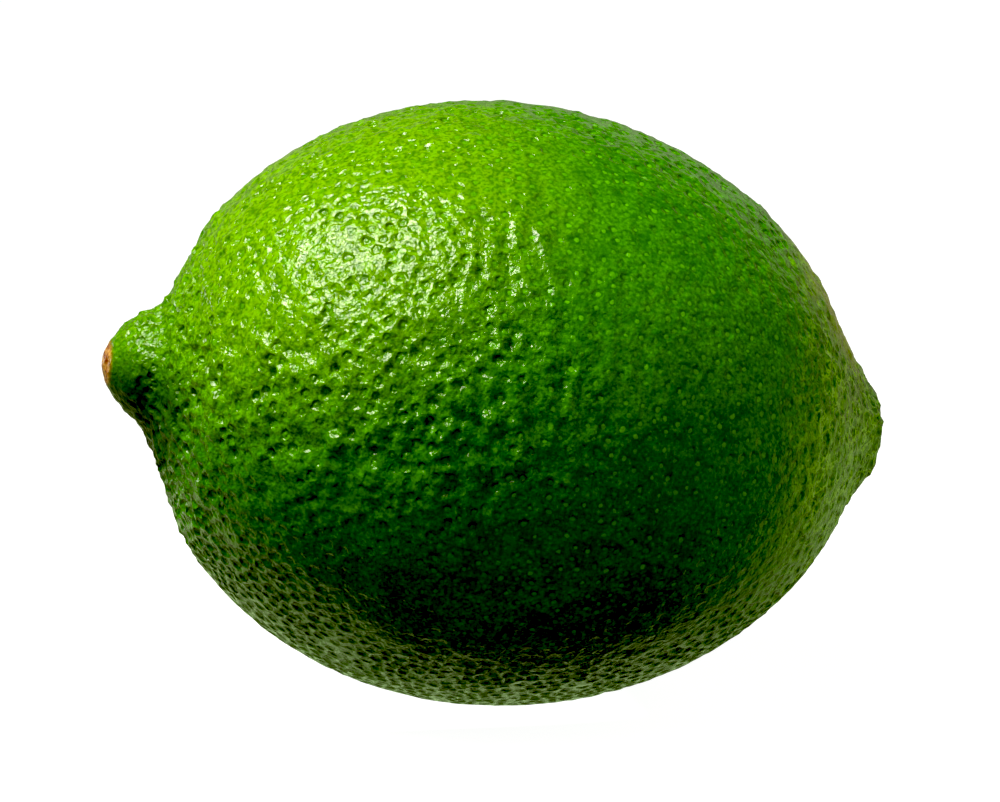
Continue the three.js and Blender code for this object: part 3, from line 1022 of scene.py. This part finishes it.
def distance_to_pit(nodes, place):
    """How far a point is from the middle of its pit, in radii of the pit, with a little wobble."""
    wobble = nodes.vector_maths("SUBTRACT", nodes.noise(place, *WOBBLE_NOISE, output="Color"), NOISE_MIDDLE)
    wobble = nodes.vector_maths("MULTIPLY", wobble, (CRATER_WOBBLE * MM,) * 3)
    spot = nodes.vector_maths("ADD", nodes.add("ShaderNodeTexCoord").outputs["Object"], wobble)
    away = nodes.vector_maths("DISTANCE", spot, nodes.attribute("pit_middle", "Vector"))
    return nodes.maths("DIVIDE", away, nodes.attribute("pit_radius", "Fac"))


def crater_height(nodes, pit_distance):
    wall = nodes.between(pit_distance, *CRATER_WALL)
    middle = nodes.between(pit_distance, *CRATER_MIDDLE, 0.0, CRATER_MIDDLE_RISE)
    profile = nodes.maths("SUBTRACT", nodes.maths("ADD", wall, middle), 1.0)
    share = nodes.maths("MAXIMUM", nodes.attribute("pit_share", "Fac"), CRATER_LEAST_SHARE)
    return nodes.maths("MULTIPLY", profile, share)


def fine_normal(nodes, place, pit_distance):
    """The finest relief: the walls of the pits, low lumps and the grain of the wax."""
    lump = nodes.maths("MULTIPLY", nodes.noise(place, *LUMP_NOISE), LUMP_BUMP)
    grain = nodes.maths("MULTIPLY", nodes.noise(place, *GRAIN_NOISE), GRAIN_BUMP)
    uneven = nodes.maths("MULTIPLY", nodes.maths("ADD", lump, grain), nodes.attribute("relief", "Fac"))
    crater = nodes.maths("MULTIPLY", crater_height(nodes, pit_distance), CRATER_BUMP)
    inputs = {"Height": nodes.maths("ADD", crater, uneven), "Distance": MM, "Strength": 1.0}
    return nodes.add("ShaderNodeBump", inputs).outputs["Normal"]


def nipple_shade(nodes, along, upward):
    """Where the rind under the nipple is darker and duller: the darker green is partly the rind's own and
    partly painted shade, the duller gloss is the wax's.
    """
    under = nodes.between(upward, *NIPPLE_SHADE_Z)
    return nodes.maths("MULTIPLY", nodes.between(along, *NIPPLE_SHADE_X), under)


def rind_colour(nodes, place, along, upward, pit_distance, shade):
    off_axis = nodes.vector_maths("LENGTH", nodes.vector_maths("MULTIPLY", place, (0.0, 1.0, 1.0)))
    patchy = nodes.noise(place, *PATCHY_NOISE)
    body = body_colour(nodes, place, along, patchy)
    body = with_glands(nodes, body, along, pit_distance)
    body = with_net(nodes, body, place, along, patchy, pit_distance)
    body = with_gold(nodes, body, place, along, upward, off_axis)
    # The darker green under the nipple: partly the rind's own, partly painted shade.
    body = nodes.mix(shade, body, SHADE_GREEN)
    return with_scars(nodes, body, place, along, off_axis)


def rind_material():
    material = bpy.data.materials.new("lime_rind")
    material.use_nodes = True
    nodes = Nodes(material.node_tree)
    place = nodes.attribute("fruit_mm", "Vector")
    along, _, upward = nodes.parts(place)
    pit_distance = distance_to_pit(nodes, place)
    shade = nipple_shade(nodes, along, upward)
    rough = nodes.between(nodes.noise(place, *GLOSS_NOISE), *ROUGHNESS_STEP)
    inputs = {
        "Base Color": rind_colour(nodes, place, along, upward, pit_distance, shade),
        "Roughness": nodes.maths("ADD", rough, nodes.maths("MULTIPLY", shade, SHADE_DULLING)),
        "Specular IOR Level": nodes.between(shade, 0.0, 1.0, RIND_GLOSS, SHADE_GLOSS),
        "Normal": fine_normal(nodes, place, pit_distance),
        "IOR": RIND_IOR,
    }
    nodes.finish("ShaderNodeOutputMaterial", nodes.add("ShaderNodeBsdfPrincipled", inputs))
    return material


def build_lime():
    piece = bpy.data.objects.new("lime_skin", rind_mesh())
    bpy.context.scene.collection.objects.link(piece)
    piece.data.materials.append(rind_material())
    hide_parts("lime")
    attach(piece, "root")


# The camera, the lights and the table.


def view_axes():
    yaw, rise = math.radians(CAMERA_YAW_DEG), math.radians(CAMERA_RISE_DEG)
    right = Vector((math.cos(yaw), -math.sin(yaw), 0))
    forward = Vector((math.sin(yaw) * math.cos(rise), math.cos(yaw) * math.cos(rise), -math.sin(rise)))
    return right, right.cross(forward), forward


def add_camera():
    right, up, forward = view_axes()
    centre = Vector((-ORIGIN * MM).tolist())
    target = centre + (right * CAMERA_ASIDE + up * CAMERA_ABOVE) * MM
    data = bpy.data.cameras.new("camera")
    data.lens = PIXELS_PER_MM * CAMERA_DISTANCE * SENSOR_WIDTH / PHOTO_WIDTH
    data.sensor_width = SENSOR_WIDTH
    data.clip_start = CLIP_START
    data.clip_end = CLIP_END
    camera = bpy.data.objects.new("camera", data)
    place = Matrix.Translation(target - forward * CAMERA_DISTANCE * MM)
    camera.matrix_world = place @ Matrix((right, up, -forward)).transposed().to_4x4()
    bpy.context.scene.collection.objects.link(camera)
    bpy.context.scene.camera = camera


def softbox(name, seen_from, distance, size, power, tint, in_colour, in_gloss):
    """A rectangular light that faces the lime, placed by its direction as the camera sees it."""
    aside, above, towards = seen_from
    right, up, forward = view_axes()
    centre = Vector((-ORIGIN * MM).tolist())
    direction = (right * aside + up * above - forward * towards).normalized()
    data = bpy.data.lights.new(name, "AREA")
    data.shape = "RECTANGLE"
    data.size, data.size_y = size
    data.energy = power
    data.color = tint
    light = bpy.data.objects.new(name, data)
    light.location = centre + direction * distance
    light.rotation_mode = "QUATERNION"
    light.rotation_quaternion = direction.to_track_quat("Z", "Y")
    light.visible_camera = False
    light.visible_diffuse = in_colour
    light.visible_glossy = in_gloss
    bpy.context.scene.collection.objects.link(light)


def table_glow(nodes, aside, back, near):
    """How the table glows in the lime's gloss, as painted light: behind a line under it, less at the right
    and far off; dark in front of the line and weaker at the right as painted shadow of the lime.
    """
    beyond = nodes.maths("MINIMUM", nodes.maths("SUBTRACT", aside, REFLECTED_SLANT_FROM), 0.0)
    slanted = nodes.maths("ADD", back, nodes.maths("MULTIPLY", beyond, REFLECTED_SLANT))
    glow = nodes.between(slanted, *REFLECTED_BEHIND, 0.0, FLOOR_REFLECTED)
    zones = (
        nodes.between(aside, *REFLECTED_LEFT, REFLECTED_RIGHT_SHARE, 1.0),
        nodes.between(aside, *REFLECTED_LEFT_END, REFLECTED_LEFT_SHARE, 1.0),
        nodes.between(near, 0.0, 1.0, REFLECTED_FAR_SHARE, 1.0),
    )
    for zone in zones:
        glow = nodes.maths("MULTIPLY", glow, zone)
    return glow


def table_material():
    """A table that glows: white to the camera, and in green and cream zones of painted light to the lime's
    gloss.
    """
    material = bpy.data.materials.new("table")
    material.use_nodes = True
    nodes = Nodes(material.node_tree)
    seen = nodes.add("ShaderNodeLightPath").outputs["Is Camera Ray"]
    aside, back, _ = nodes.parts(nodes.add("ShaderNodeTexCoord").outputs["Object"])
    near = nodes.between(back, *REFLECTED_FAR)
    to_camera = nodes.maths("MULTIPLY", seen, FLOOR_SEEN)
    tint = nodes.mix(near, FLOOR_FAR_COLOUR, FLOOR_REFLECTED_COLOUR)
    inputs = {
        "Base Color": nodes.mix(seen, FLOOR_UNSEEN_COLOUR, FLOOR_COLOUR),
        "Emission Strength": nodes.maths("MAXIMUM", table_glow(nodes, aside, back, near), to_camera),
        "Emission Color": nodes.mix(seen, tint, WHITE),
        "Roughness": FLOOR_ROUGHNESS,
        "Specular IOR Level": 0.0,
    }
    nodes.finish("ShaderNodeOutputMaterial", nodes.add("ShaderNodeBsdfPrincipled", inputs))
    return material


def add_floor():
    mesh = bpy.data.meshes.new("table")
    half = FLOOR_HALF
    corners = [(-half, -half, 0), (half, -half, 0), (half, half, 0), (-half, half, 0)]
    mesh.from_pydata(corners, [], [(0, 1, 2, 3)])
    mesh.materials.append(table_material())
    floor = bpy.data.objects.new("table", mesh)
    floor.visible_diffuse = False
    bpy.context.scene.collection.objects.link(floor)


def add_world():
    """A white background that lights nothing."""
    world = bpy.data.worlds.new("studio")
    world.use_nodes = True
    nodes = Nodes(world.node_tree)
    seen = nodes.add("ShaderNodeLightPath").outputs["Is Camera Ray"]
    background = nodes.add("ShaderNodeBackground", {"Color": WHITE, "Strength": seen})
    nodes.finish("ShaderNodeOutputWorld", background)
    bpy.context.scene.world = world


def set_view():
    settings = bpy.context.scene.view_settings
    settings.view_transform = "Standard"
    settings.look = "None"
    settings.use_curve_mapping = True
    settings.curve_mapping.black_level = BLACK_LEVEL
    settings.curve_mapping.update()


def add_studio():
    add_camera()
    add_floor()
    add_world()
    for name, settings in LIGHTS.items():
        softbox(name, *settings)
    set_view()


build_lime()
add_studio()
